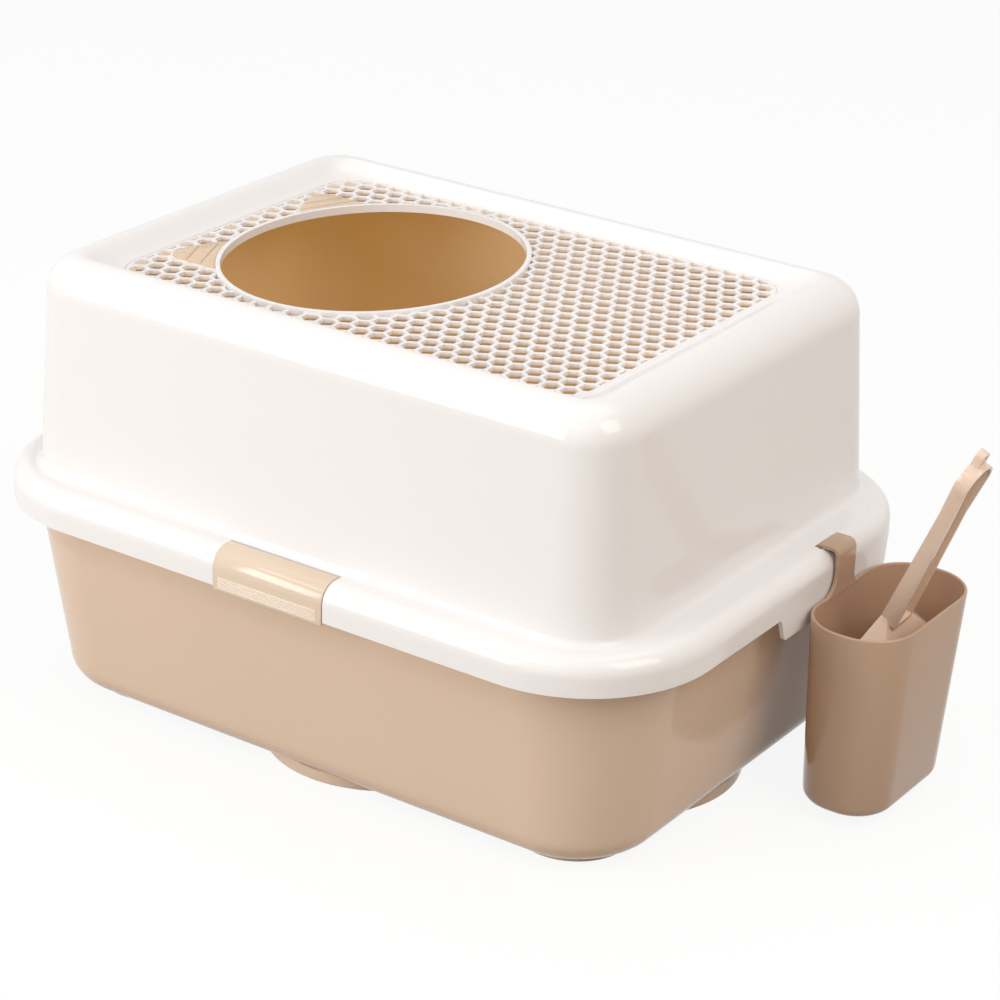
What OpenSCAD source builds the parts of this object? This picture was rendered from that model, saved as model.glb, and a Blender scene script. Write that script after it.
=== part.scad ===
// Top entry litter box: a deep tub, a lift-off hood with a perforated deck and an entry hole,
// two swing latches on the long sides, and a hook-on holder with its litter scoop.
// Origin: on the floor, under the middle of the tub. Z is up, X runs along the long side,
// the photographed latch faces -Y and the scoop holder hangs on the +X end.

/* [Flange] */
// Length of the hood flange, the longest size of the box
flange_l = 560; // [520:1:620]
// Width of the hood flange
flange_w = 404; // [380:1:440]
// Corner radius of the flange in plan
flange_r = 96; // [86:1:104]
// Rounding of the flange's outer top edge
edge_r = 13.6; // [8:0.2:14.6]
// Depth of the flange skirt below the ledge
skirt_drop = 25.5; // [22:0.5:30]

/* [Tub] */
// Length of the tub at its base
base_l = 491; // [460:1:515]
// Width of the tub at its base
base_w = 334; // [310:1:350]
// Corner radius of the tub at its base
base_r = 62; // [50:1:72]
// Corner radius of the tub under its rim
tub_top_r = 82; // [70:1:90]
// Rounding between the tub's walls and its bottom
bottom_r = 22; // [12:1:30]
// Height of the tub from its bottom face to the top of its rim
tub_h = 162; // [140:1:190]
// Wall thickness of the tub
tub_wall = 3; // [2:0.1:4]
// Distance from the flange's face to the tub's wall under the rim
tub_inset = 15; // [14.5:0.5:18]
// Distance from the flange's face to the outer edge of the tub's rim
rim_inset = 5.4; // [5:0.1:6]
// Height of the turned-down lip of the rim
lip_drop = 6; // [5:0.5:7]

/* [Feet] */
// Height of the moulded foot skirt under the tub
foot_h = 6; // [4:0.5:12]
// Wall thickness of the foot skirt
foot_wall = 3.5; // [2.5:0.5:5]
// Distance from the edge of the tub's flat bottom to the straight runs of the foot skirt
foot_inset = 12; // [8:1:20]
// Radius of the foot lobe under the middle of each long side
long_lobe_r = 87; // [70:1:100]
// How far that lobe stands out past the tub's flat bottom
long_lobe_out = 12; // [4:0.5:13]
// Radius of the foot lobe under the middle of each short side
short_lobe_r = 85; // [70:1:100]
// How far that lobe stands out past the tub's flat bottom
short_lobe_out = 13; // [4:0.5:14]

/* [Hood] */
// Height of the hood from its ledge to the crown of its roof
hood_h = 152.5; // [110:0.5:180]
// Length of the hood at the foot of its wall
hood_l = 494; // [480:1:500]
// Width of the hood at the foot of its wall
hood_w = 354; // [340:1:356]
// Wall thickness of the hood
hood_wall = 3; // [2.4:0.1:3.4]
// Corner radius of the hood at the foot of its wall
hood_r = 46; // [44:1:60]
// Fillet between the hood's wall and its ledge
ledge_fillet = 6; // [3:0.5:8]
// How far the wall leans in over the hood's height
hood_draft = 8; // [4:0.5:9]
// How far in the rounding between the hood's wall and its roof reaches
shoulder_in = 24; // [16:1:25]
// How far down that rounding reaches
shoulder_down = 25; // [16:1:40]
// How far the roof falls from its crown to the edge of the deck panel
crown_drop = 9; // [4:0.5:12]
// Width of the deep part of the skirt behind the scoop holder
apron_w = 150; // [136:1:156]
// How much deeper than the skirt that part reaches
apron_drop = 17; // [10:1:22]
// Height of the locating rib that rests on the tub's rim
rib_h = 5.2; // [4.8:0.1:7]
// Thickness of the locating rib
rib_t = 2.4; // [2:0.1:3]

/* [Deck] */
// Length of the perforated deck panel
deck_l = 382; // [360:1:388]
// Width of the perforated deck panel
deck_w = 270; // [258:1:274]
// Corner radius of the deck panel
deck_r = 30; // [20:1:40]
// Place of the deck panel's middle along the box
deck_x = -2; // [-4:0.5:2]
// How deep the deck panel lies below the roof's edge round it
deck_recess = 0.5; // [0.2:0.1:2]
// Thickness of the deck panel
deck_t = 3; // [2.4:0.1:4]
// Distance between the middles of neighbouring hexagonal holes
hex_pitch = 13.7; // [12:0.1:20]
// Width of a web between two hexagonal holes
hex_web = 2.6; // [2:0.1:4]
// Width of the solid border round the perforated field
deck_border = 2.2; // [1.5:0.1:8]
// How far the solid patch under an ear insert stands out past it
ear_pad = 1.6; // [1:0.1:3]
// Width of the shelf in the hood that carries the deck panel
shelf_w = 6; // [4:0.5:8]

/* [Entry] */
// Distance from the deck panel's end to the middle of the entry hole
entry_in = 126; // [124:0.5:140]
// Half length of the entry hole along the box
entry_rx = 100.5; // [80:0.5:102]
// Half width of the entry hole across the box
entry_ry = 115.5; // [90:0.5:118]
// Thickness of the collar round the entry hole
collar_t = 3.2; // [2.4:0.1:5]
// How far the collar stands above the deck
collar_rise = 2; // [1:0.5:6]
// How far the collar reaches below the deck
collar_drop = 5; // [2:0.5:10]

/* [Ears] */
// Width of an ear insert along the collar
ear_w = 54; // [40:1:60]
// Height of an ear insert out from the collar
ear_h = 31; // [22:0.5:32]
// Direction in which each ear points, measured from the box's long axis
ear_turn = 23.5; // [15:0.5:30]
// Place of each ear round the entry hole, measured from the box's long axis
ear_place = 30.5; // [26:0.5:36]
// How far an ear stands above the deck
ear_rise = 1.6; // [0.8:0.1:3]
// Width of a groove in an ear
groove_w = 1.2; // [0.6:0.1:2]
// Number of grooves in an ear
groove_count = 2; // [1:1:4]

/* [Latches] */
// Width of a latch
latch_w = 91; // [60:1:120]
// Thickness of a latch
latch_t = 3; // [2.6:0.1:3.2]
// How far a latch stands proud of the flange
latch_proud = 0.8; // [0.4:0.1:1.2]
// How far a latch reaches below the skirt
latch_low = 2; // [0:0.5:4]
// How far the cut-out for a latch runs in over the ledge
notch_depth = 20.5; // [19:0.5:21]
// Radius of a latch's hinge pins
pin_r = 1.2; // [0.9:0.05:1.25]
// Length of each hinge pin
pin_len = 5; // [3:0.5:8]
// Number of grip ribs on a latch
grip_count = 6; // [3:1:7]

/* [Scoop holder] */
// Place of the holder's middle across the box
holder_y = 63; // [20:1:66]
// Height of the cup
cup_h = 140; // [110:1:150]
// Height of the cup's bottom above the floor
cup_z = 7; // [4:1:30]
// Depth of the cup's mouth, out from the flange
cup_l = 74; // [64:1:90]
// Width of the cup's mouth
cup_w = 132; // [120:1:140]
// How much each side of the cup leans in towards its bottom
cup_draft = 9.7; // [4:0.1:12]
// Corner radius of the cup's mouth
cup_r = 34; // [26:1:36]
// Wall thickness of the cup
cup_wall = 2.4; // [1.8:0.1:3]
// Rounding of the cup's bottom edge
cup_bottom_r = 8; // [4:0.5:12]
// Width of the tab that carries the cup
tab_w = 24; // [18:1:30]
// Thickness of the tab and its hook
tab_t = 2.8; // [2.2:0.1:3.4]
// How far the hook runs in over the ledge
hook_reach = 12; // [10:0.5:14]

/* [Litter scoop] */
// Lean of the scoop away from the box
scoop_lean = 25; // [22:0.5:26]
// Tilt of the scoop along the box's width
scoop_roll = 8; // [0:0.5:9]
// Distance of the handle's root from the cup's back
root_out = 37; // [36:0.5:40]
// Width of the scoop's blade at its shoulders
blade_w = 84; // [70:1:84]
// Width of the blade at its tip
tip_w = 70; // [50:1:74]
// Length of the blade
blade_l = 127; // [100:1:130]
// Depth of the blade
blade_d = 35; // [20:1:36]
// Length of the sloping shoulder between the handle's root and the blade's back
heel = 27; // [16:0.5:30]
// Length of the handle from its root to its disc
handle_l = 122; // [90:1:150]
// Length of the straight part of the blade's open edge
open_l = 54; // [40:1:60]
// Width of the handle
handle_w = 20; // [14:1:24]
// Depth of the handle at its root
handle_d = 13; // [9:0.5:15]
// Radius of the disc at the end of the handle
disc_r = 15; // [12:0.5:20]
// Wall thickness of the scoop
scoop_wall = 2; // [1.6:0.1:2.6]
// Number of sifting slots in the blade
slot_count = 7; // [3:1:8]

/* [Clearances] */
// Gap between the hood's rib and the tub's rim
seat_gap = 0.3; // [0.2:0.05:0.5]
// Gap round the deck panel in its rebate
panel_gap = 0.2; // [0.1:0.05:0.4]
// Gap between an ear insert and the collar
ear_gap = 0.3; // [0.1:0.05:0.6]
// Gap beside a latch in its cut-out
latch_gap = 0.6; // [0.4:0.1:1]
// Gap under the scoop's tip and under the holder's hook
rest_gap = 0.3; // [0.1:0.05:0.5]
// Radial gap round a hinge pin
pin_gap = 0.05; // [0.02:0.01:0.1]
// Gap between the holder and the flange
holder_gap = 1; // [0.6:0.1:2]
// Gap beside the holder's hook in its slot
hook_gap = 1.2; // [0.8:0.1:2]

/* [Hidden] */
$fn = 64;
over = 1;
corner_steps = 8;
arc_steps = 5;
roof_steps = 5;
rim_top = foot_h + tub_h;
rib_z = rim_top + seat_gap;
ledge_z = rib_z + rib_h + hood_wall;
roof_z = ledge_z + hood_h;
skirt_z = ledge_z - skirt_drop;
apron_z = skirt_z - apron_drop;
apron_slope = 8;
apron_y = holder_y - apron_w / 2 + 4;
apron_end = holder_y + apron_w / 2;
deck_z = roof_z - crown_drop - deck_recess;
entry_x = deck_x - deck_l / 2 + entry_in;
shelf_z = deck_z - deck_t;
rib_in = edge_r + 0.2;
flat_l = base_l - 2 * bottom_r;
flat_w = base_w - 2 * bottom_r;
flat_r = base_r - bottom_r;
notch_w = latch_w + 2 * latch_gap;
barrel_r = latch_t / 2 + 1.5;
pivot_z = ledge_z + latch_proud - barrel_r;
pivot_in = notch_depth - latch_gap - barrel_r;
boss_w = pin_len + latch_gap + 1;
cup_x = flange_l / 2 + holder_gap;
cup_top = cup_z + cup_h;
slot_edge = hook_reach - tab_t / 2 - hook_gap;
hook_under = ledge_z - edge_r + sqrt(pow(edge_r, 2) - pow(edge_r - slot_edge, 2)) + rest_gap;
tip_cut = 12;
tip_lip = 4;
end_d = handle_d - 3;
disc_z = handle_l + disc_r * 0.6;
flare_z = disc_z - 30;
tip_down = (tip_w / 2 - tip_cut) * sin(scoop_roll) + blade_l * cos(scoop_roll);
root_z = cup_z + cup_wall + rest_gap + blade_d * sin(scoop_lean) + tip_down * cos(scoop_lean);
white = [0.96, 0.94, 0.92];
tan = [0.78, 0.63, 0.50];
beige = [0.90, 0.78, 0.64];

// A rounded rectangle as a ring of points at height z, counterclockwise, with its middle at cx, cy
function ring(l, w, r, z, cx = 0, cy = 0) = [
    for (q = [0:3], i = [0:corner_steps])
        let (
            a = 90 * q + 90 * i / corner_steps,
            sx = (q == 0 || q == 3) ? 1 : -1,
            sy = q < 2 ? 1 : -1
        )
        [cx + sx * (l / 2 - r) + r * cos(a), cy + sy * (w / 2 - r) + r * sin(a), z]
];

// The same ring with two more points on its +X side, where the apron's slope begins and ends
function apron_ring(r) = concat(r, [
    [r[0][0], apron_y - apron_slope, r[0][2]],
    [r[0][0], apron_y, r[0][2]]
]);

// The skirt's lower edge: a ring that drops by the apron's depth behind the scoop holder
function skirt_ring(i) = [
    for (p = apron_ring(inset_ring(i, skirt_z)))
        [p[0], p[1], p[0] > 0 && p[1] > apron_y - 0.01 && p[1] < apron_end ? apron_z : skirt_z]
];

// A ring parallel to the flange's outline, the given distance inside it
function inset_ring(i, z) = ring(flange_l - 2 * i, flange_w - 2 * i, flange_r - i, z);

// A ring of the hood's wall, the given distance inside the wall's foot
function wall_ring(i, z) = ring(hood_l - 2 * i, hood_w - 2 * i, hood_r - i, z);

// A ring of the deck opening, grown by g
function deck_ring(g, z) = ring(deck_l + 2 * g, deck_w + 2 * g, deck_r + g, z, deck_x);

// A ring of the roof, at the share t of the way from its crown to the deck opening
function roof_ring(t) = let (
    a = wall_ring(hood_draft + shoulder_in, 0),
    b = deck_ring(panel_gap, 0),
    z = roof_z - crown_drop * (1 - cos(180 * t)) / 2
) [for (i = [0:len(a) - 1]) [a[i][0] + (b[i][0] - a[i][0]) * t, a[i][1] + (b[i][1] - a[i][1]) * t, z]];

// Skins a list of rings into one solid: as a closed loop, or capped at both ends
module skin(rings, loop) {
    n = len(rings[0]);
    m = len(rings);
    last = loop ? m - 1 : m - 2;
    sides = [
        for (i = [0:last], j = [0:n - 1], k = [0:1])
            let (a = i * n + j, b = i * n + (j + 1) % n, c = ((i + 1) % m) * n + (j + 1) % n,
                d = ((i + 1) % m) * n + j)
            k == 0 ? [a, d, c] : [a, c, b]
    ];
    caps = loop ? [] : [[for (j = [0:n - 1]) j], [for (j = [n - 1:-1:0]) (m - 1) * n + j]];
    polyhedron(points = [for (r = rings) each r], faces = concat(sides, caps), convexity = 10);
}

// A flat region with a rounded outer top corner, from its inner low corner to its outer high one
module corner_block(x0, y0, x1, y1, r) {
    difference() {
        translate([x0, y0]) square([x1 - x0, y1 - y0]);
        difference() {
            translate([x1 - r, y1 - r]) square(r + over);
            translate([x1 - r, y1 - r]) circle(r);
        }
    }
}

// A rounded rectangle in the plane, made of squares and circles
module rounded(l, w, r) {
    square([l - 2 * r, w], center = true);
    square([l, w - 2 * r], center = true);
    for (sx = [-1, 1], sy = [-1, 1])
        translate([sx * (l / 2 - r), sy * (w / 2 - r)]) circle(r);
}

// The outline of the entry hole, grown by g
module entry_outline(g) {
    sides = 96;
    polygon([for (i = [0:sides - 1]) let (a = 360 * i / sides)
        [entry_x + (entry_rx + g) * cos(a), (entry_ry + g) * sin(a)]]);
}

// The foot skirt's outline, shrunk by g: a rounded rectangle with a lobe at each side and corner
module foot_outline(g) {
    rounded(flat_l - 2 * (foot_inset + g), flat_w - 2 * (foot_inset + g), flat_r);
    for (s = [-1, 1]) {
        translate([0, s * (flat_w / 2 + long_lobe_out - long_lobe_r)]) circle(long_lobe_r - g);
        translate([s * (flat_l / 2 + short_lobe_out - short_lobe_r), 0]) circle(short_lobe_r - g);
        for (t = [-1, 1])
            translate([s * (flat_l / 2 - flat_r), t * (flat_w / 2 - flat_r)]) circle(flat_r - g);
    }
}

module base_tub() {
    dish_over = 4;
    wall_top = rim_top - tub_wall;
    wall_l = flange_l - 2 * tub_inset;
    wall_w = flange_w - 2 * tub_inset;
    outer = concat(
        [for (i = [0:arc_steps]) let (a = 90 * i / arc_steps, o = bottom_r * (1 - sin(a)))
            ring(base_l - 2 * o, base_w - 2 * o, base_r - o, foot_h + bottom_r * (1 - cos(a)))],
        [ring(wall_l, wall_w, tub_top_r, wall_top),
            inset_ring(rim_inset + tub_wall, wall_top),
            inset_ring(rim_inset + tub_wall, rim_top - lip_drop),
            inset_ring(rim_inset, rim_top - lip_drop),
            inset_ring(rim_inset, rim_top - 1.2),
            inset_ring(rim_inset + 1.2, rim_top)]
    );
    inner_r = bottom_r - tub_wall;
    inner = concat(
        [ring(wall_l - 2 * tub_wall - 2, wall_w - 2 * tub_wall - 2, tub_top_r - tub_wall - 1, rim_top),
            ring(wall_l - 2 * tub_wall, wall_w - 2 * tub_wall, tub_top_r - tub_wall, rim_top - 1)],
        [for (i = [0:arc_steps]) let (a = 90 - 90 * i / arc_steps, o = inner_r * (1 - sin(a)) + tub_wall)
            ring(base_l - 2 * o, base_w - 2 * o, base_r - o,
                foot_h + tub_wall + inner_r * (1 - cos(a)))]
    );
    color(tan) difference() {
        union() {
            skin(concat(outer, inner), false);
            linear_extrude(foot_h + tub_wall - 0.2) foot_outline(0);
        }
        translate([0, 0, tub_wall]) linear_extrude(foot_h + dish_over) foot_outline(foot_wall);
    }
}

module hood_body() {
    w = hood_wall;
    outer = concat(
        [for (i = [0:arc_steps]) let (a = 90 * i / arc_steps)
            inset_ring(edge_r * (1 - cos(a)), ledge_z - edge_r * (1 - sin(a)))],
        [for (i = [0:3]) let (a = 90 * i / 3)
            wall_ring(-ledge_fillet * (1 - sin(a)), ledge_z + ledge_fillet * (1 - cos(a)))],
        [for (i = [0:arc_steps + 1]) let (a = 90 * i / (arc_steps + 1))
            wall_ring(hood_draft + shoulder_in * (1 - cos(a)), roof_z - shoulder_down * (1 - sin(a)))],
        [for (i = [1:roof_steps]) roof_ring(i / roof_steps)]
    );
    inner = concat(
        [deck_ring(panel_gap, shelf_z),
            deck_ring(-shelf_w, shelf_z),
            deck_ring(-shelf_w, shelf_z - w),
            deck_ring(panel_gap + w, shelf_z - w)],
        [for (i = [arc_steps + 1:-1:0]) let (a = 90 * i / (arc_steps + 1))
            wall_ring(hood_draft + w + (shoulder_in - w) * (1 - cos(a)),
                roof_z - w - (shoulder_down - w) * (1 - sin(a)))],
        [wall_ring(w, ledge_z - w),
            inset_ring(rib_in + rib_t, ledge_z - w),
            inset_ring(rib_in + rib_t, rib_z),
            inset_ring(rib_in, rib_z),
            inset_ring(rib_in, ledge_z - w)],
        [for (i = [arc_steps:-1:0]) let (a = 90 * i / arc_steps, r = edge_r - w)
            inset_ring(w + r * (1 - cos(a)), ledge_z - w - r * (1 - sin(a)))]
    );
    skin([for (r = concat([skirt_ring(0)], outer, inner, [skirt_ring(w)]))
        len(r) > 4 * (corner_steps + 1) ? r : apron_ring(r)], true);
}

// The cut-out for the latch on the front, with a relief on each side near the skirt's edge
module latch_notch() {
    y0 = flange_w / 2;
    relief_w = 2.2;
    relief_h = 4.5;
    relief_z = skirt_z + 2;
    translate([-notch_w / 2, -y0 - over, skirt_z - over])
        cube([notch_w, notch_depth + over, ledge_z - skirt_z + 2 * over]);
    translate([-notch_w / 2 - relief_w, -y0 - over, relief_z])
        cube([notch_w + 2 * relief_w, hood_wall + 2 * over, relief_h]);
    for (s = [-1, 1])
        translate([s * (notch_w / 2 - over), -(y0 - pivot_in), pivot_z])
            rotate([0, s * 90, 0]) cylinder(r = pin_r + pin_gap, h = pin_len + latch_gap + over);
}

// The two blocks under the ledge that hold the latch's hinge pins
module hinge_bosses() {
    y0 = -(flange_w / 2 - pivot_in);
    boss_t = 8;
    low = pivot_z - pin_r - 2.2;
    for (s = [-1, 1])
        translate([s * (notch_w / 2 + boss_w / 2) - boss_w / 2, y0 - boss_t / 2, low])
            cube([boss_w, boss_t, ledge_z - hood_wall / 2 - low]);
}

module hood_shell() {
    slot_l = tab_w + 2 * hook_gap;
    slot_x = flange_l / 2 - hook_reach - tab_t / 2 - hook_gap;
    color(white) difference() {
        union() {
            hood_body();
            hinge_bosses();
            mirror([0, 1, 0]) hinge_bosses();
        }
        latch_notch();
        mirror([0, 1, 0]) latch_notch();
        translate([slot_x, holder_y - slot_l / 2, rib_z - over])
            cube([tab_t + 2 * hook_gap, slot_l, ledge_z - rib_z + 2 * over]);
    }
}

// The middle of an ear's base on the collar's outer face; side is -1 at the front and 1 at the back
function ear_foot(side) = [
    entry_x - (entry_rx + collar_t) * cos(ear_place),
    side * (entry_ry + collar_t) * sin(ear_place)
];

// An ear's outline in the plane, grown by g; its sides are given as shares of its width and height
module ear_outline(side, g) {
    below = 8 / ear_h;
    shape = [[-0.44, -below], [-0.44, -0.14], [-0.41, 0.02], [-0.36, 0.21], [-0.29, 0.37], [-0.2, 0.56],
        [-0.1, 0.73], [0, 0.87], [0.07, 0.94], [0.14, 0.985], [0.2, 0.99], [0.26, 0.96], [0.31, 0.88],
        [0.35, 0.76], [0.39, 0.59], [0.45, 0.32], [0.5, 0.12], [0.56, -0.14], [0.56, -below]];
    middle = [0.06 * ear_w, 0.3 * ear_h];
    difference() {
        translate(ear_foot(side)) rotate(180 - side * ear_turn) polygon([for (q = shape)
            let (p = [q[0] * ear_w, q[1] * ear_h], d = p - middle, k = 1 + g / norm(d))
            [middle[1] + d[1] * k, -side * (middle[0] + d[0] * k)]]);
        entry_outline(collar_t - g);
    }
}

// The field of hexagonal holes, in rows along the box
module hex_field() {
    row = hex_pitch * sqrt(3) / 2;
    across = hex_pitch - hex_web;
    rows = ceil(deck_w / 2 / row);
    columns = ceil(deck_l / 2 / hex_pitch) + 1;
    for (j = [-rows:rows], i = [-columns:columns])
        translate([deck_x + (i + (j % 2 == 0 ? 0 : 0.5)) * hex_pitch, j * row])
            rotate(30) circle(r = across / sqrt(3), $fn = 6);
}

module deck_grille() {
    color(white) union() {
        translate([0, 0, shelf_z]) linear_extrude(deck_t) difference() {
            union() {
                difference() {
                    translate([deck_x, 0]) rounded(deck_l, deck_w, deck_r);
                    hex_field();
                }
                difference() {
                    translate([deck_x, 0]) rounded(deck_l, deck_w, deck_r);
                    translate([deck_x, 0])
                        rounded(deck_l - 2 * deck_border, deck_w - 2 * deck_border, deck_r - deck_border);
                }
                for (s = [-1, 1]) ear_outline(s, ear_pad);
                entry_outline(collar_t);
            }
            entry_outline(0);
        }
        translate([0, 0, shelf_z - collar_drop])
            linear_extrude(collar_drop + deck_t + collar_rise) difference() {
                entry_outline(collar_t);
                entry_outline(0);
            }
    }
}

module ear(side) {
    step = ear_h / (groove_count + 0.72);
    color(beige) difference() {
        translate([0, 0, deck_z]) linear_extrude(ear_rise) ear_outline(side, -ear_gap);
        translate([ear_foot(side)[0], ear_foot(side)[1], deck_z + ear_rise / 2])
            rotate(180 - side * ear_turn)
                for (i = [1:groove_count])
                    translate([(i - 0.5) * step - groove_w / 2, -ear_w, 0])
                        cube([groove_w, 2 * ear_w, ear_rise]);
    }
}

module front_ear() {
    ear(-1);
}

module rear_ear() {
    ear(1);
}

// The front latch: a plate that follows the flange's edge, a hinge barrel with two pins,
// a hook for the tub's rim and a ribbed grip
module latch() {
    low = -skirt_drop - latch_low;
    r = edge_r + latch_proud;
    inner = -notch_depth + latch_gap;
    rim_out = -rim_inset;
    hook_tip = rim_out - 1.2;
    hook_t = 1.6;
    hook_rise = 1.5;
    lip_z = rim_top - lip_drop - ledge_z;
    reach = norm([rim_out + pivot_in, lip_z - (pivot_z - ledge_z)]) + 0.5;
    tip_z = pivot_z - ledge_z - sqrt(pow(reach, 2) - pow(hook_tip + pivot_in, 2));
    face = latch_proud - latch_t;
    grip_h = 8.5;
    grip_in = 4.5;
    grip_low = 1.8;
    grip_step = grip_h / grip_count;
    color(beige) translate([0, -flange_w / 2, ledge_z]) rotate([0, 0, -90]) rotate([90, 0, 0]) union() {
        linear_extrude(latch_w, center = true) {
            difference() {
                corner_block(inner + barrel_r, low, latch_proud, latch_proud, r);
                corner_block(inner, low - over, face, face, r - latch_t);
            }
            translate([-pivot_in, pivot_z - ledge_z]) circle(barrel_r);
        }
        linear_extrude(latch_w * 0.6, center = true)
            polygon([[hook_tip, tip_z], [face + 0.5, tip_z + hook_rise],
                [face + 0.5, tip_z - hook_t - 1], [hook_tip, tip_z - hook_t]]);
        linear_extrude(latch_w - 2 * grip_in, center = true)
            for (i = [0:grip_count - 1])
                translate([latch_proud - 0.5, low + grip_low + i * grip_step]) square([1, grip_step / 2]);
        translate([-pivot_in, pivot_z - ledge_z, 0])
            cylinder(r = pin_r, h = latch_w + 2 * (latch_gap + pin_len) - 1, center = true);
    }
}

module front_latch() {
    latch();
}

module rear_latch() {
    mirror([0, 1, 0]) latch();
}

// A ring of the cup, shrunk by g all round, at the share t of the way down from its mouth
function cup_ring(g, t, z) = let (
    l = cup_l - cup_draft * t,
    w = cup_w - 2 * cup_draft * t
) ring(l - 2 * g, w - 2 * g, cup_r - cup_draft / 2 * t - g, z, cup_x + l / 2, holder_y);

module scoop_holder() {
    hook_in = flange_l / 2 - hook_reach;
    hook_top = hook_under + tab_t;
    tab_x = cup_x + 0.2;
    tab_down = 12;
    foot_r = 7;
    foot_up = 11;
    bend_r = 6;
    hook_below = 2;
    bottom = [for (i = [0:arc_steps]) let (a = 90 * i / arc_steps)
        cup_ring(cup_bottom_r * (1 - sin(a)), 1 - (cup_bottom_r * (1 - cos(a))) / cup_h,
            cup_z + cup_bottom_r * (1 - cos(a)))];
    inner_r = cup_bottom_r - cup_wall;
    inside = [for (i = [arc_steps:-1:0]) let (a = 90 * i / arc_steps)
        cup_ring(cup_wall + inner_r * (1 - sin(a)), 1 - (cup_wall + inner_r * (1 - cos(a))) / cup_h,
            cup_z + cup_wall + inner_r * (1 - cos(a)))];
    rim = [cup_ring(0, 0, cup_top - 1), cup_ring(1, 0, cup_top), cup_ring(cup_wall, 0, cup_top - 1)];
    color(tan) union() {
        skin(concat(bottom, rim, inside), false);
        translate([tab_x, holder_y, cup_top - tab_down]) rotate([90, 0, 90]) linear_extrude(tab_t) {
            translate([-tab_w / 2, 0]) square([tab_w, hook_top - bend_r - cup_top + tab_down]);
            difference() {
                translate([-tab_w / 2 - foot_r, 0]) square([tab_w + 2 * foot_r, foot_up + foot_r * 0.8]);
                for (s = [-1, 1])
                    translate([s * (tab_w / 2 + foot_r), foot_up + foot_r]) circle(foot_r);
            }
        }
        translate([0, holder_y, 0]) rotate([90, 0, 0]) linear_extrude(tab_w, center = true) {
            difference() {
                corner_block(hook_in - tab_t / 2, hook_top - bend_r - over, tab_x + tab_t, hook_top,
                    bend_r);
                corner_block(hook_in - tab_t, hook_top - bend_r - 2 * over, tab_x, hook_top - tab_t,
                    bend_r - tab_t);
            }
            translate([hook_in - tab_t / 2, ledge_z - hood_wall - hook_below])
                square([tab_t, hook_top - ledge_z + hood_wall + hook_below]);
        }
    }
}

// The scoop's outline seen from its flat side, shrunk by g
module blade_outline(g) {
    polygon([[-handle_w / 2 + g, 0], [-blade_w / 2 + g, -heel],
        [-tip_w / 2 + g, -blade_l + tip_cut], [-tip_w / 2 + tip_cut, -blade_l],
        [tip_w / 2 - tip_cut, -blade_l], [tip_w / 2 - g, -blade_l + tip_cut],
        [blade_w / 2 - g, -heel], [handle_w / 2 - g, 0]]);
}

// Extrudes an outline given across and along the scoop through its depth
module through_depth(x0, x1) {
    translate([x0, 0, 0]) rotate([90, 0, 90]) linear_extrude(x1 - x0) children();
}

// Extrudes a side view given through the depth and along the scoop over its width
module over_width(w) {
    rotate([90, 0, 0]) linear_extrude(w, center = true) children();
}

// The outline of the handle's round end, which widens from the handle, shrunk by g
module head_outline(g) {
    translate([0, disc_z]) circle(disc_r - g);
    polygon([[g - handle_w / 2, flare_z - over], [handle_w / 2 - g, flare_z - over],
        [disc_r - g, disc_z], [g - disc_r, disc_z]]);
}

// The scoop on its own axes: Z up the handle from its root, X towards the closed side
module scoop_body() {
    s = scoop_wall;
    root_t = 5;
    slot_w = 5;
    slot_low = 16;
    slot_high = 10;
    slot_step = (tip_w - 8) / slot_count;
    lug_t = 6;
    lug_r = 4.5;
    lug_bore = 2.2;
    lug_z = disc_z + disc_r + 6;
    difference() {
        intersection() {
            over_width(blade_w + 2) polygon([[0, 0], [root_t, 0], [blade_d, -heel], [blade_d, -blade_l],
                [blade_d - tip_lip, -blade_l], [0, -open_l]]);
            through_depth(-over, blade_d + over) blade_outline(0);
        }
        intersection() {
            over_width(blade_w + 2) polygon([[-over, -s], [root_t - s / 2, -s],
                [blade_d - s, -heel - s / 2], [blade_d - s, -blade_l - over], [-over, -blade_l - over]]);
            through_depth(-over, blade_d + over) blade_outline(s);
        }
        for (i = [0:slot_count - 1])
            through_depth(blade_d - 2 * s, blade_d + over)
                translate([(i - (slot_count - 1) / 2) * slot_step - slot_w / 2, -blade_l + slot_low])
                    square([slot_w, blade_l - heel - slot_low - slot_high]);
    }
    difference() {
        union() {
            over_width(handle_w) polygon([[0, -3], [handle_d, -3], [end_d, flare_z], [0, flare_z]]);
            through_depth(0, end_d) head_outline(0);
            through_depth(0, lug_t) translate([-lug_r, lug_z - 9]) square([2 * lug_r, 9]);
            through_depth(0, lug_t) translate([0, lug_z]) circle(lug_r);
        }
        over_width(handle_w - 2 * s) polygon([[s, 1.5], [handle_d + over, 1.5],
            [handle_d + over, flare_z + over], [s, flare_z + over]]);
        through_depth(s, handle_d + over) head_outline(s);
        through_depth(-over, lug_t + over) translate([0, lug_z]) circle(lug_bore);
    }
}

module litter_scoop() {
    color(tan) translate([cup_x + root_out, holder_y, root_z])
        rotate([0, scoop_lean, 0]) rotate([scoop_roll, 0, 0]) scoop_body();
}

base_tub();
hood_shell();
deck_grille();
front_ear();
rear_ear();
front_latch();
rear_latch();
scoop_holder();
litter_scoop();
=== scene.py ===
from math import cos, pi, radians, sin, sqrt

import bmesh
import bpy
from mathutils import Matrix, Vector


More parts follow.
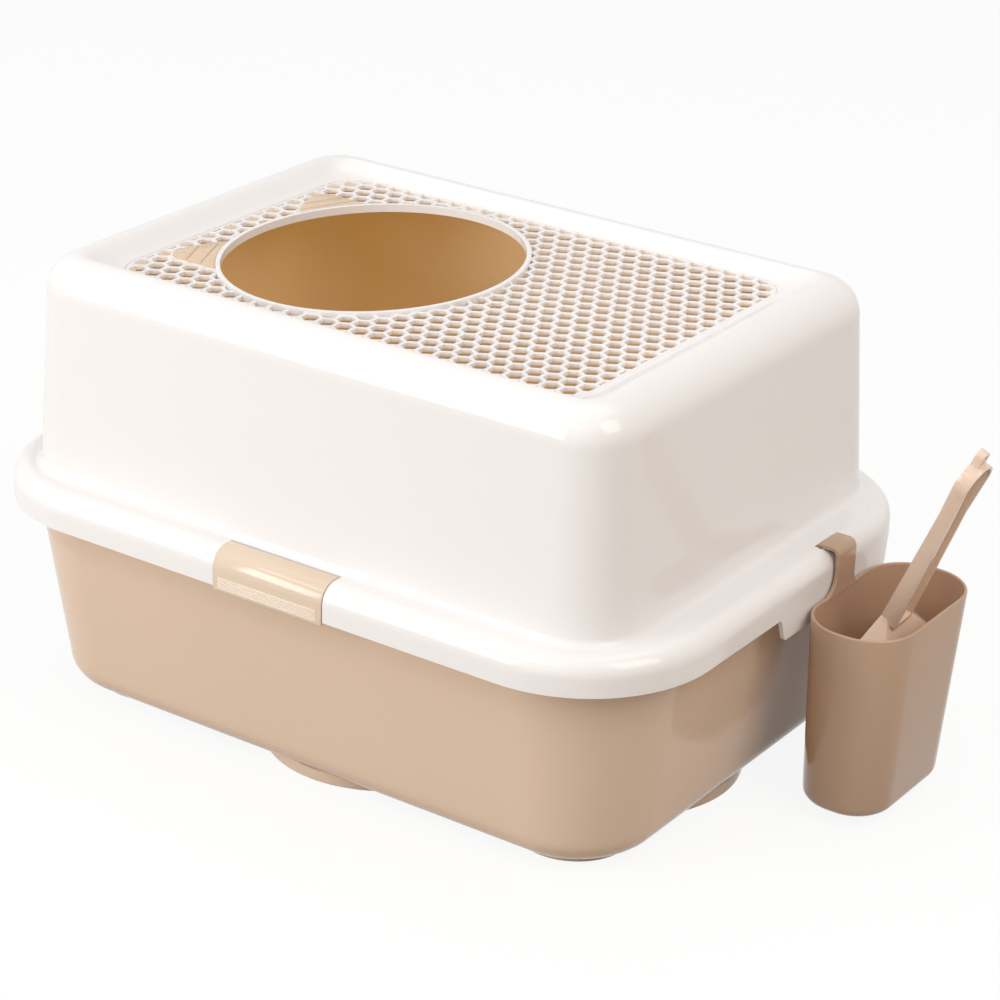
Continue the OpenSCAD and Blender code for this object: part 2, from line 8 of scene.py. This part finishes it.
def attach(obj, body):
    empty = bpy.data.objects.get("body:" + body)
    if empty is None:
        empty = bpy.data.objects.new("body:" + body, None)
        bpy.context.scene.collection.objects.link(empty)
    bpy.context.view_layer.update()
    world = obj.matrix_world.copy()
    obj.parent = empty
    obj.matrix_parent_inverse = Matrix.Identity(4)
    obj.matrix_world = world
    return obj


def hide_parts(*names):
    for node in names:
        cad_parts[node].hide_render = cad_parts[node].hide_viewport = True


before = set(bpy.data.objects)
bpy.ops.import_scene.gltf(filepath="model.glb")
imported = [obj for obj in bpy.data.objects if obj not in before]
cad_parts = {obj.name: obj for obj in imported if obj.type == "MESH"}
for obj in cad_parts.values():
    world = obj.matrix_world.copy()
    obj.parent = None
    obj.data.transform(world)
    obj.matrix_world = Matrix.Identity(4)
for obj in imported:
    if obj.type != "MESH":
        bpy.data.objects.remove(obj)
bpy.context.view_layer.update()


# The tub: a deep pan of tan polypropylene, injection moulded in one piece. Its wall folds
# over into a rim at the top, where the hood rests, and a low skirt under the floor with
# lobes at the sides and corners is its foot. Sizes are in millimetres.
MM = 0.001
FLANGE_L, FLANGE_W, FLANGE_R = 560, 404, 96
TUB_BASE = (491, 334, 62)
TUB_BOTTOM_R = 22
TUB_WALL = 3
TUB_TOP_R = 82
TUB_INSET = 15
FOOT_H, FOOT_WALL, FOOT_INSET = 6, 3.5, 12
FOOT_EDGE = ((0.8, 0), (0.2, 0.3), (0, 0.9))
FOOT_OVERLAP, DISH_OVERLAP = 0.2, 4
LONG_LOBE, SHORT_LOBE = (87, 12), (85, 13)
RIM_TOP = 168
RIM_INSET = 5.4
RIM_ROUND, MOUTH_ROUND = 1.2, 1
LIP_DROP = 6


def rounded(length, width, radius, z, cx=0, cy=0, steps=22):
    points = []
    for q, (sx, sy) in enumerate(((1, 1), (-1, 1), (-1, -1), (1, -1))):
        for i in range(steps + 1):
            a = radians(90 * q + 90 * i / steps)
            points.append((cx + sx * (length / 2 - radius) + radius * cos(a),
                           cy + sy * (width / 2 - radius) + radius * sin(a), z))
    return points


def inside_flange(inset, z):
    return rounded(FLANGE_L - 2 * inset, FLANGE_W - 2 * inset, FLANGE_R - inset, z)


def arc(steps, start=0, end=90):
    return [radians(start + (end - start) * i / steps) for i in range(steps + 1)]


def moulding(name, rings, loop=False, lining_from=None):
    mesh = bmesh.new()
    rows = [[mesh.verts.new([v * MM for v in p]) for p in ring] for ring in rings]
    count = len(rows[0])
    last = len(rows) if loop else len(rows) - 1
    for i in range(last):
        low, high = rows[i], rows[(i + 1) % len(rows)]
        for j in range(count):
            k = (j + 1) % count
            face = mesh.faces.new((low[j], low[k], high[k], high[j]))
            if lining_from is not None and lining_from <= i < len(rows) - 1:
                face.material_index = 1
    if not loop:
        mesh.faces.new(rows[0][::-1])
        top = mesh.faces.new(rows[-1])
        top.material_index = 0 if lining_from is None else 1
    bmesh.ops.recalc_face_normals(mesh, faces=mesh.faces)
    data = bpy.data.meshes.new(name)
    mesh.to_mesh(data)
    mesh.free()
    piece = bpy.data.objects.new(name, data)
    bpy.context.scene.collection.objects.link(piece)
    return piece


def soften(piece, degrees=32):
    piece.data.shade_smooth()
    piece.data.set_sharp_from_angle(angle=radians(degrees))


def polypropylene(name, colour, roughness, peel=0.04, depth=0.06, sheen=0.3, varnish=0.12,
                  painted_glow=None):
    material = bpy.data.materials.new(name)
    material.use_nodes = True
    nodes, links = material.node_tree.nodes, material.node_tree.links
    shader = nodes["Principled BSDF"]
    shader.inputs["IOR"].default_value = 1.49
    # painted_glow is a painted glow: a faint emission that stands in for light passing through the
    # plastic, on a part that is no lamp.
    if painted_glow:
        shader.inputs["Emission Color"].default_value = (*painted_glow, 1)
        shader.inputs["Emission Strength"].default_value = 1
    shader.inputs["Specular IOR Level"].default_value = sheen
    shader.inputs["Coat Weight"].default_value = varnish
    shader.inputs["Coat Roughness"].default_value = 0.04
    where = nodes.new("ShaderNodeTexCoord")
    cloud = nodes.new("ShaderNodeTexNoise")
    cloud.inputs["Scale"].default_value = 6
    cloud.inputs["Detail"].default_value = 4
    links.new(where.outputs["Object"], cloud.inputs["Vector"])
    tint = nodes.new("ShaderNodeMix")
    tint.data_type = "RGBA"
    tint.inputs["A"].default_value = (*[c * (1 - depth) for c in colour], 1)
    tint.inputs["B"].default_value = (*colour, 1)
    links.new(cloud.outputs["Fac"], tint.inputs["Factor"])
    links.new(tint.outputs["Result"], shader.inputs["Base Color"])
    wipe = nodes.new("ShaderNodeTexNoise")
    wipe.inputs["Scale"].default_value = 45
    wipe.inputs["Detail"].default_value = 5
    links.new(where.outputs["Object"], wipe.inputs["Vector"])
    shine = nodes.new("ShaderNodeMapRange")
    shine.inputs["To Min"].default_value = roughness * 0.8
    shine.inputs["To Max"].default_value = roughness * 1.25
    links.new(wipe.outputs["Fac"], shine.inputs["Value"])
    links.new(shine.outputs["Result"], shader.inputs["Roughness"])
    skin = nodes.new("ShaderNodeTexNoise")
    skin.inputs["Scale"].default_value = 260
    skin.inputs["Detail"].default_value = 2
    links.new(where.outputs["Object"], skin.inputs["Vector"])
    bump = nodes.new("ShaderNodeBump")
    bump.inputs["Strength"].default_value = peel
    bump.inputs["Distance"].default_value = 0.0004
    links.new(skin.outputs["Fac"], bump.inputs["Height"])
    links.new(bump.outputs["Normal"], shader.inputs["Normal"])
    return material


tan_gloss = polypropylene("tan gloss", (0.75, 0.58, 0.445), 0.14, sheen=0.13, varnish=0.05)
# The tub's inner surfaces: their rougher finish is real, but the darker tan is painted shade and
# the emission is a painted glow standing in for light through the plastic.
tan_lining_painted_shade_glow = polypropylene("tan lining painted shade glow", (0.60, 0.43, 0.28), 0.34,
                           painted_glow=(0.13, 0.093, 0.048))


def tub_shell():
    length, width, radius = TUB_BASE
    rings = []
    for a in arc(8):
        o = TUB_BOTTOM_R * (1 - sin(a))
        rings.append(rounded(length - 2 * o, width - 2 * o, radius - o,
                             FOOT_H + TUB_BOTTOM_R * (1 - cos(a))))
    top_l, top_w = FLANGE_L - 2 * TUB_INSET, FLANGE_W - 2 * TUB_INSET
    rings.append(rounded(top_l, top_w, TUB_TOP_R, RIM_TOP - TUB_WALL))
    rings.append(inside_flange(RIM_INSET + TUB_WALL, RIM_TOP - TUB_WALL))
    rings.append(inside_flange(RIM_INSET + TUB_WALL, RIM_TOP - LIP_DROP))
    rings.append(inside_flange(RIM_INSET, RIM_TOP - LIP_DROP))
    for a in arc(4):
        rings.append(inside_flange(RIM_INSET + RIM_ROUND * (1 - cos(a)),
                                   RIM_TOP - RIM_ROUND * (1 - sin(a))))
    lining = len(rings) + 1
    for a in arc(3, 90, 0):
        o = TUB_WALL + MOUTH_ROUND * (1 - cos(a))
        rings.append(rounded(top_l - 2 * o, top_w - 2 * o, TUB_TOP_R - o,
                             RIM_TOP - MOUTH_ROUND * (1 - sin(a))))
    inner = TUB_BOTTOM_R - TUB_WALL
    for a in arc(8, 90, 0):
        o = TUB_WALL + inner * (1 - sin(a))
        rings.append(rounded(length - 2 * o, width - 2 * o, radius - o,
                             FOOT_H + TUB_WALL + inner * (1 - cos(a))))
    return moulding("tub", rings, lining_from=lining)


def wear(piece, *materials):
    if piece.data.materials:
        piece.data.materials.clear()
    for material in materials:
        piece.data.materials.append(material)


def foot_radius(angle, shrink):
    flat_l, flat_w, flat_r = (v - f * TUB_BOTTOM_R for v, f in zip(TUB_BASE, (2, 2, 1)))
    lobes = []
    for s in (-1, 1):
        lobes.append((0, s * (flat_w / 2 + LONG_LOBE[1] - LONG_LOBE[0]), LONG_LOBE[0]))
        lobes.append((s * (flat_l / 2 + SHORT_LOBE[1] - SHORT_LOBE[0]), 0, SHORT_LOBE[0]))
        for t in (-1, 1):
            lobes.append((s * (flat_l / 2 - flat_r), t * (flat_w / 2 - flat_r), flat_r))
    ray = Vector((cos(angle), sin(angle)))
    half_l, half_w = flat_l / 2 - FOOT_INSET - shrink, flat_w / 2 - FOOT_INSET - shrink
    reach = min(half_l / max(abs(ray.x), 1e-6), half_w / max(abs(ray.y), 1e-6))
    for x, y, r in lobes:
        along = ray.x * x + ray.y * y
        inside = (r - shrink) ** 2 - (x * x + y * y - along * along)
        if inside > 0:
            reach = max(reach, along + sqrt(inside))
    return reach * ray


def foot_block(name, levels):
    sides = 480
    rings = []
    for shrink, z in levels:
        outline = [foot_radius(2 * pi * i / sides, shrink) for i in range(sides)]
        rings.append([(p.x, p.y, z) for p in outline])
    return moulding(name, rings)


def settle(piece):
    bpy.context.view_layer.update()
    graph = bpy.context.evaluated_depsgraph_get()
    data = bpy.data.meshes.new_from_object(piece.evaluated_get(graph))
    piece.modifiers.clear()
    old = piece.data
    piece.data = data
    bpy.data.meshes.remove(old)


def carve(piece, cutters, joined=()):
    for other in (*joined, *cutters):
        step = piece.modifiers.new("step", "BOOLEAN")
        step.operation = "UNION" if other in joined else "DIFFERENCE"
        step.solver = "EXACT"
        step.object = other
    settle(piece)
    for other in (*joined, *cutters):
        bpy.data.objects.remove(other)


tub = tub_shell()
wear(tub, tan_gloss, tan_lining_painted_shade_glow)
foot = foot_block("foot", (*FOOT_EDGE, (0, FOOT_H + TUB_WALL - FOOT_OVERLAP)))
dish = foot_block("dish", ((FOOT_WALL, TUB_WALL), (FOOT_WALL, TUB_WALL + FOOT_H + DISH_OVERLAP)))
carve(tub, [dish], [foot])
soften(tub)
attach(tub, "tub")
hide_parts("base_tub")


# The hood: a tall white polypropylene cover that lifts off. Its wide flange wraps over the
# tub's rim, with a deep apron behind the scoop holder, a cut-out for each latch and a slot
# for the holder's hook, and a rebate in its roof carries the deck.
SKIRT_Z, LEDGE_Z, CROWN_Z = 151, 176.5, 329
APRON_DROP, APRON_Y, APRON_END, APRON_SLOPE = 17, -8, 138, 8
EDGE_R = 13.6
HOOD_WALL = 3
HOOD_FOOT = (494, 354, 46)
LEDGE_FILLET, HOOD_DRAFT, SHOULDER_IN, SHOULDER_DOWN, CROWN_DROP = 6, 8, 24, 25, 9
DECK = (382, 270, 30)
DECK_X = -2
DECK_T, DECK_RECESS = 3, 0.5
PANEL_GAP = 0.2
REBATE_EDGE = ((0.3, 0), (0.1, 0.1), (0, 0.3))
SHELF_W = 6
SHELF_Z = CROWN_Z - CROWN_DROP - DECK_RECESS - DECK_T

white_gloss = polypropylene("white gloss", (0.87, 0.852, 0.85), 0.13, depth=0.02)
# The white hood's inner surfaces: the rougher finish is real, but the amber colour is painted warm
# shade, standing in for light bounced off the tan tub, and the emission is a painted glow.
white_lining_painted_shade_glow = polypropylene("white lining painted shade glow", (0.74, 0.56, 0.36), 0.4, depth=0.05,
                             painted_glow=(0.11, 0.062, 0.012))


def with_apron(ring):
    x, z = ring[0][0], ring[0][2]
    steps = 6
    extra = [(x, APRON_Y - APRON_SLOPE + APRON_SLOPE * i / steps, z) for i in range(steps + 1)]
    return ring + extra


def skirt_edge(inset):
    points = []
    for x, y, z in with_apron(inside_flange(inset, SKIRT_Z)):
        into = min((y - APRON_Y + APRON_SLOPE) / APRON_SLOPE, (APRON_END - y) / APRON_SLOPE)
        t = max(0, min(1, into)) if x > 0 else 0
        points.append((x, y, z - APRON_DROP * t * t * (3 - 2 * t)))
    return points


def hood_wall(inset, z):
    length, width, radius = HOOD_FOOT
    return rounded(length - 2 * inset, width - 2 * inset, radius - inset, z)


def deck_line(grow, z):
    return rounded(DECK[0] + 2 * grow, DECK[1] + 2 * grow, DECK[2] + grow, z, DECK_X)


def roof_line(t):
    crown = hood_wall(HOOD_DRAFT + SHOULDER_IN, CROWN_Z)
    z = CROWN_Z - CROWN_DROP * (1 - cos(pi * t)) / 2
    return [(a[0] + (b[0] - a[0]) * t, a[1] + (b[1] - a[1]) * t, z)
            for a, b in zip(crown, deck_line(PANEL_GAP + REBATE_EDGE[0][0], z))]


def hood_cover():
    w = HOOD_WALL
    rings = [skirt_edge(0)]
    for a in arc(10):
        rings.append(inside_flange(EDGE_R * (1 - cos(a)), LEDGE_Z - EDGE_R * (1 - sin(a))))
    for a in arc(6):
        rings.append(hood_wall(-LEDGE_FILLET * (1 - sin(a)), LEDGE_Z + LEDGE_FILLET * (1 - cos(a))))
    for a in arc(14):
        rings.append(hood_wall(HOOD_DRAFT + SHOULDER_IN * (1 - cos(a)),
                               CROWN_Z - SHOULDER_DOWN * (1 - sin(a))))
    rings += [roof_line((i + 1) / 12) for i in range(12)]
    edge = CROWN_Z - CROWN_DROP
    rings += [deck_line(PANEL_GAP + out, edge - down) for out, down in REBATE_EDGE[1:]]
    rings.append(deck_line(PANEL_GAP, SHELF_Z))
    lining = len(rings) - 1
    rings += [deck_line(-SHELF_W, SHELF_Z), deck_line(-SHELF_W, SHELF_Z - w),
              deck_line(PANEL_GAP + w, SHELF_Z - w)]
    for a in arc(8, 90, 0):
        rings.append(hood_wall(HOOD_DRAFT + w + (SHOULDER_IN - w) * (1 - cos(a)),
                               CROWN_Z - w - (SHOULDER_DOWN - w) * (1 - sin(a))))
    rings.append(hood_wall(w, LEDGE_Z - w))
    for a in arc(8, 90, 0):
        o = w + (EDGE_R - w) * (1 - cos(a))
        rings.append(inside_flange(o, LEDGE_Z - w - (EDGE_R - w) * (1 - sin(a))))
    rings.append(skirt_edge(w))
    full = len(skirt_edge(0))
    rings = [r if len(r) == full else with_apron(r) for r in rings]
    return moulding("hood", rings, loop=True, lining_from=lining)


def block(low, high):
    mesh = bmesh.new()
    bmesh.ops.create_cube(mesh, size=1)
    size = Vector(high) - Vector(low)
    middle = (Vector(high) + Vector(low)) / 2
    bmesh.ops.scale(mesh, vec=size * MM, verts=mesh.verts)
    bmesh.ops.translate(mesh, vec=middle * MM, verts=mesh.verts)
    data = bpy.data.meshes.new("cutter")
    mesh.to_mesh(data)
    mesh.free()
    cutter = bpy.data.objects.new("cutter", data)
    bpy.context.scene.collection.objects.link(cutter)
    return cutter


LATCH_W, LATCH_GAP, NOTCH_DEPTH = 91, 0.6, 20.5
HOLDER_Y = 63
HOOK_REACH, TAB_W, TAB_T, HOOK_GAP = 12, 24, 2.8, 1.2
SLOT_DEPTH = 9
CLEAR = 2

hood = hood_cover()
wear(hood, white_gloss, white_lining_painted_shade_glow)
notch = LATCH_W / 2 + LATCH_GAP
cuts = []
for s in (-1, 1):
    ys = sorted((s * (FLANGE_W / 2 - NOTCH_DEPTH), s * (FLANGE_W / 2 + CLEAR)))
    cuts.append(block((-notch, ys[0], SKIRT_Z - CLEAR), (notch, ys[1], LEDGE_Z + CLEAR)))
slot_x = FLANGE_L / 2 - HOOK_REACH - TAB_T / 2 - HOOK_GAP
slot_y = TAB_W / 2 + HOOK_GAP
cuts.append(block((slot_x, HOLDER_Y - slot_y, LEDGE_Z - SLOT_DEPTH),
                  (slot_x + TAB_T + 2 * HOOK_GAP, HOLDER_Y + slot_y, LEDGE_Z + CLEAR)))
carve(hood, cuts)
soften(hood, 30)
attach(hood, "hood")
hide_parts("hood_shell")


# The deck: a separate white panel in the roof's rebate, moulded with a field of hexagonal
# holes that knock the litter off the cat's paws, and with the raised collar of the round
# entry hole, which ends just under the panel.
COLLAR_UNDER = 0.6
TRIM = (270, 190, 12)
SAME_POINT = 0.00001


def as_moulded(node, name, rounding):
    piece = bpy.data.objects.new(name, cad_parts[node].data.copy())
    bpy.context.scene.collection.objects.link(piece)
    mesh = bmesh.new()
    mesh.from_mesh(piece.data)
    bmesh.ops.remove_doubles(mesh, verts=mesh.verts, dist=SAME_POINT)
    bmesh.ops.dissolve_limit(mesh, angle_limit=radians(0.5), verts=mesh.verts, edges=mesh.edges)
    mesh.to_mesh(piece.data)
    mesh.free()
    edge = piece.modifiers.new("edge", "BEVEL")
    edge.width = rounding * MM
    edge.segments = 2
    edge.limit_method = "ANGLE"
    edge.angle_limit = radians(35)
    settle(piece)
    soften(piece, 40)
    return piece


white_satin = polypropylene("white satin", (0.87, 0.852, 0.85), 0.26, depth=0.02)
deck = as_moulded("deck_grille", "deck", 0.45)
wear(deck, white_satin)
carve(deck, [block((-TRIM[0], -TRIM[1], SHELF_Z - TRIM[2]),
                   (TRIM[0], TRIM[1], SHELF_Z - COLLAR_UNDER))])
soften(deck, 40)
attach(deck, "hood")
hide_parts("deck_grille")


# The ears: two small inserts of lighter beige plastic beside the entry's collar, each with
# grooves across it, pressed into the deck.
beige_satin = polypropylene("beige satin", (0.73, 0.55, 0.38), 0.28)
for node in ("front_ear", "rear_ear"):
    ear = as_moulded(node, node + "_insert", 0.3)
    wear(ear, beige_satin)
    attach(ear, "hood")
    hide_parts(node)


# The latches: one on each long side, bent plates of beige polypropylene that follow the
# flange's edge. Each swings on two pins in the flange, hooks under the tub's rim and has
# fine grip ribs along its lower edge.
beige_gloss = polypropylene("beige gloss", (0.75, 0.61, 0.47), 0.12, sheen=0.45)
# The crests of the grip ribs get a paler beige: a painted highlight along each rib.
rib_crest_painted_highlight = polypropylene("rib crest painted highlight", (0.93, 0.84, 0.73), 0.2)
rib_crest = (FLANGE_W / 2 + 1.05) * MM
for node, body in (("front_latch", "latch_front"), ("rear_latch", "latch_rear")):
    latch = as_moulded(node, node + "_plate", 0.2)
    wear(latch, beige_gloss, rib_crest_painted_highlight)
    for face in latch.data.polygons:
        if abs(face.center.y) > rib_crest:
            face.material_index = 1
    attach(latch, body)
    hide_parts(node)


# The scoop holder: a deep cup of tan polypropylene with a flat tab at its back that hooks
# over the hood's flange into the slot.
CUP_X, CUP_Z, CUP_H = 281, 7, 140
CUP_L, CUP_W, CUP_R, CUP_DRAFT = 74, 132, 34, 9.7
CUP_WALL, CUP_BOTTOM_R = 2.4, 8


def cup_ring(shrink, share, z):
    length = CUP_L - CUP_DRAFT * share
    width = CUP_W - 2 * CUP_DRAFT * share
    return rounded(length - 2 * shrink, width - 2 * shrink, CUP_R - CUP_DRAFT / 2 * share - shrink,
                   z, CUP_X + length / 2, HOLDER_Y)


def cup():
    rings = []
    for a in arc(6):
        up = CUP_BOTTOM_R * (1 - cos(a))
        rings.append(cup_ring(CUP_BOTTOM_R * (1 - sin(a)), 1 - up / CUP_H, CUP_Z + up))
    for a in arc(6, 0, 180):
        rings.append(cup_ring(CUP_WALL / 2 * (1 - cos(a)), 0,
                              CUP_Z + CUP_H - CUP_WALL / 2 * (1 - sin(a))))
    lining = len(rings) - 4
    inner = CUP_BOTTOM_R - CUP_WALL
    for a in arc(6, 90, 0):
        up = CUP_WALL + inner * (1 - cos(a))
        rings.append(cup_ring(CUP_WALL + inner * (1 - sin(a)), 1 - up / CUP_H, CUP_Z + up))
    return moulding("holder_cup", rings, lining_from=lining)


holder_tan = polypropylene("holder tan", (0.525, 0.355, 0.245), 0.13)
# The cup's inner surfaces: the rougher finish is real, but the darker tan is painted shade and the
# emission is a painted glow.
holder_inside_painted_shade_glow = polypropylene("holder inside painted shade glow", (0.47, 0.31, 0.215), 0.34,
                              painted_glow=(0.03, 0.014, 0.007))
holder_cup = cup()
soften(holder_cup)
wear(holder_cup, holder_tan, holder_inside_painted_shade_glow)
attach(holder_cup, "holder")


def side_plate(name, outline, across, low, high):
    mesh = bmesh.new()
    near, far = [], []
    for side, at in ((near, low), (far, high)):
        for along, z in outline:
            point = (at, along, z) if across == "x" else (along, at, z)
            side.append(mesh.verts.new([v * MM for v in point]))
    mesh.faces.new(near)
    mesh.faces.new(far[::-1])
    for i in range(len(near)):
        j = (i + 1) % len(near)
        mesh.faces.new((near[i], far[i], far[j], near[j]))
    bmesh.ops.recalc_face_normals(mesh, faces=mesh.faces)
    data = bpy.data.meshes.new(name)
    mesh.to_mesh(data)
    mesh.free()
    piece = bpy.data.objects.new(name, data)
    bpy.context.scene.collection.objects.link(piece)
    edge = piece.modifiers.new("edge", "BEVEL")
    edge.width = 0.5 * MM
    edge.segments = 3
    edge.limit_method = "ANGLE"
    edge.angle_limit = radians(40)
    settle(piece)
    soften(piece, 35)
    return piece


BEND_R, TIP_R, HOOK_DROP, HOOK_CLEAR = 6, 3, 5, 0.3
SWEEP = {-1: 15, 1: 7}
TAB_ROOT, TAB_IN = 2.2, 0.2

cup_top = CUP_Z + CUP_H
slot_edge = HOOK_REACH - TAB_T / 2 - HOOK_GAP
hook_under = LEDGE_Z - EDGE_R + sqrt(EDGE_R ** 2 - (EDGE_R - slot_edge) ** 2) + HOOK_CLEAR
hook_top = hook_under + TAB_T
hook_in = FLANGE_L / 2 - HOOK_REACH
tab_x = CUP_X + TAB_IN

tab_side = [(HOLDER_Y - TAB_W / 2 - SWEEP[-1], cup_top - TAB_ROOT)]
for s in (-1, 1):
    for a in arc(10, 0, 90) if s < 0 else arc(10, 90, 0):
        tab_side.append((HOLDER_Y + s * (TAB_W / 2 + SWEEP[s] * (1 - sin(a))),
                         cup_top - 1 + SWEEP[s] * (1 - cos(a))))
    if s < 0:
        tab_side += [(HOLDER_Y - TAB_W / 2, hook_top - BEND_R),
                     (HOLDER_Y + TAB_W / 2, hook_top - BEND_R)]
tab_side.append((HOLDER_Y + TAB_W / 2 + SWEEP[1], cup_top - TAB_ROOT))
tab = side_plate("holder_tab", tab_side, "x", tab_x, tab_x + TAB_T)

hook_side = []
for a in arc(8):
    hook_side.append((tab_x + TAB_T - BEND_R * (1 - cos(a)), hook_top - BEND_R * (1 - sin(a))))
for a in arc(6):
    hook_side.append((hook_in - TAB_T / 2 + TIP_R * (1 - sin(a)), hook_top - TIP_R * (1 - cos(a))))
hook_side.append((hook_in - TAB_T / 2, LEDGE_Z - HOOK_DROP))
hook_side.append((hook_in + TAB_T / 2, LEDGE_Z - HOOK_DROP))
hook_side.append((hook_in + TAB_T / 2, hook_top - TAB_T))
inner = BEND_R - TAB_T
for a in arc(6, 90, 0):
    hook_side.append((tab_x - inner * (1 - cos(a)), hook_top - TAB_T - inner * (1 - sin(a))))
hook_side.append((tab_x, hook_top - BEND_R - 1))
hook_side.append((tab_x + TAB_T, hook_top - BEND_R - 1))
hook = side_plate("holder_hook", hook_side, "y", HOLDER_Y - TAB_W / 2, HOLDER_Y + TAB_W / 2)
for piece in (tab, hook):
    wear(piece, holder_tan)
    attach(piece, "holder")
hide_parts("scoop_holder")


# The litter scoop: tan polypropylene in one shot, a slotted blade on a channel handle with
# a round end and a small hanging eye.
# The scoop's tan is partly its own lighter tan and partly painted light: it is lifted to make up
# for the shade the scoop sits in inside the cup.
scoop_tan = polypropylene("scoop tan", (0.84, 0.66, 0.53), 0.16)
scoop = as_moulded("litter_scoop", "scoop", 0.5)
wear(scoop, scoop_tan)
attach(scoop, "scoop")
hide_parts("litter_scoop")


# The studio: a pale floor that fades to white and keeps the shadow, soft boxes above and
# to both sides, and the camera at the photograph's angle.
def lit_white(tree, surface, share):
    links, nodes = tree.links, tree.nodes
    seen = nodes.new("ShaderNodeLightPath")
    either = nodes.new("ShaderNodeMath")
    either.operation = "MAXIMUM"
    links.new(seen.outputs["Is Camera Ray"], either.inputs[0])
    links.new(seen.outputs["Is Glossy Ray"], either.inputs[1])
    any_ray = nodes.new("ShaderNodeMath")
    any_ray.operation = "MAXIMUM"
    links.new(either.outputs[0], any_ray.inputs[0])
    links.new(seen.outputs["Is Transmission Ray"], any_ray.inputs[1])
    amount = nodes.new("ShaderNodeMath")
    amount.operation = "MULTIPLY"
    amount.inputs[1].default_value = share
    links.new(any_ray.outputs[0], amount.inputs[0])
    blend = nodes.new("ShaderNodeMixShader")
    links.new(amount.outputs[0], blend.inputs[0])
    links.new(surface, blend.inputs[1])
    return blend


FLOOR_HALF, FLOOR_UNDER = 8, 0.0002
SHOWN_WHITE = 0.9

floor_mesh = bmesh.new()
bmesh.ops.create_grid(floor_mesh, x_segments=1, y_segments=1, size=FLOOR_HALF)
floor_data = bpy.data.meshes.new("floor")
floor_mesh.to_mesh(floor_data)
floor_mesh.free()
floor = bpy.data.objects.new("floor", floor_data)
bpy.context.scene.collection.objects.link(floor)
floor.location.z = -FLOOR_UNDER
paper = bpy.data.materials.new("floor paper")
paper.use_nodes = True
paper_nodes, paper_links = paper.node_tree.nodes, paper.node_tree.links
matt = paper_nodes["Principled BSDF"]
camera_sees = paper_nodes.new("ShaderNodeLightPath")
shade = paper_nodes.new("ShaderNodeMix")
shade.data_type = "RGBA"
shade.inputs["A"].default_value = (0.38, 0.33, 0.27, 1)
shade.inputs["B"].default_value = (0.97, 0.97, 0.97, 1)
paper_links.new(camera_sees.outputs["Is Camera Ray"], shade.inputs["Factor"])
paper_links.new(shade.outputs["Result"], matt.inputs["Base Color"])
matt.inputs["Roughness"].default_value = 0.9
glow = paper_nodes.new("ShaderNodeEmission")
glow.inputs["Color"].default_value = (1, 1, 1, 1)
glow.inputs["Strength"].default_value = 1.0
mixed = lit_white(paper.node_tree, matt.outputs["BSDF"], SHOWN_WHITE)
paper_links.new(glow.outputs["Emission"], mixed.inputs[2])
paper_links.new(mixed.outputs[0], paper_nodes["Material Output"].inputs["Surface"])
floor.data.materials.append(paper)

world = bpy.data.worlds.new("studio")
bpy.context.scene.world = world
world.use_nodes = True
sky_nodes, sky_links = world.node_tree.nodes, world.node_tree.links
soft = sky_nodes["Background"]
soft.inputs["Color"].default_value = (1, 0.97, 0.95, 1)
soft.inputs["Strength"].default_value = 0.5
bright = sky_nodes.new("ShaderNodeBackground")
bright.inputs["Color"].default_value = (1, 1, 1, 1)
bright.inputs["Strength"].default_value = 1.0
sky = lit_white(world.node_tree, soft.outputs["Background"], 1.0)
sky_links.new(bright.outputs["Background"], sky.inputs[2])
sky_links.new(sky.outputs[0], sky_nodes["World Output"].inputs["Surface"])


def soft_box(name, place, aim, size, power, colour=(1, 1, 1)):
    light = bpy.data.lights.new(name, "AREA")
    light.color = colour
    light.shape = "RECTANGLE"
    light.size, light.size_y = size
    light.energy = power
    lamp = bpy.data.objects.new(name, light)
    bpy.context.scene.collection.objects.link(lamp)
    lamp.location = place
    lamp.rotation_euler = (Vector(aim) - Vector(place)).to_track_quat("-Z", "Y").to_euler()


soft_box("key", (-1.3, -2.3, 1.0), (0, 0, 0.15), (1.6, 1.2), 39)
soft_box("strip", (-0.6, -1.9, 2.3), (0, 0, 0.3), (3.0, 0.12), 12)
soft_box("side", (1.75, -0.3, 1.75), (0.1, 0, 0.15), (1.2, 1.2), 19, (1, 0.92, 0.83))
soft_box("top", (0.0, 0.5, 2.4), (0, 0, 0.2), (1.4, 1.2), 7)

YAW, PITCH, ROLL = radians(34.72), radians(24.12), radians(1.44)
LOOKS_AT, DISTANCE = Vector((0.04364, 0, 0.16642)), 2.11486
back = Vector((sin(YAW) * cos(PITCH), -cos(YAW) * cos(PITCH), sin(PITCH)))
right = Vector((cos(YAW), sin(YAW), 0))
up = back.cross(right)
tilted_right = cos(ROLL) * right + sin(ROLL) * up
tilted_up = -sin(ROLL) * right + cos(ROLL) * up
lens = bpy.data.cameras.new("camera")
lens.lens = 109.58
lens.sensor_width = 36
lens.clip_end = 50
camera = bpy.data.objects.new("camera", lens)
bpy.context.scene.collection.objects.link(camera)
place = LOOKS_AT + back * DISTANCE
turn = Matrix((tilted_right, tilted_up, back)).transposed().to_4x4()
camera.matrix_world = Matrix.Translation(place) @ turn
bpy.context.scene.camera = camera
bpy.context.scene.view_settings.view_transform = "Standard"
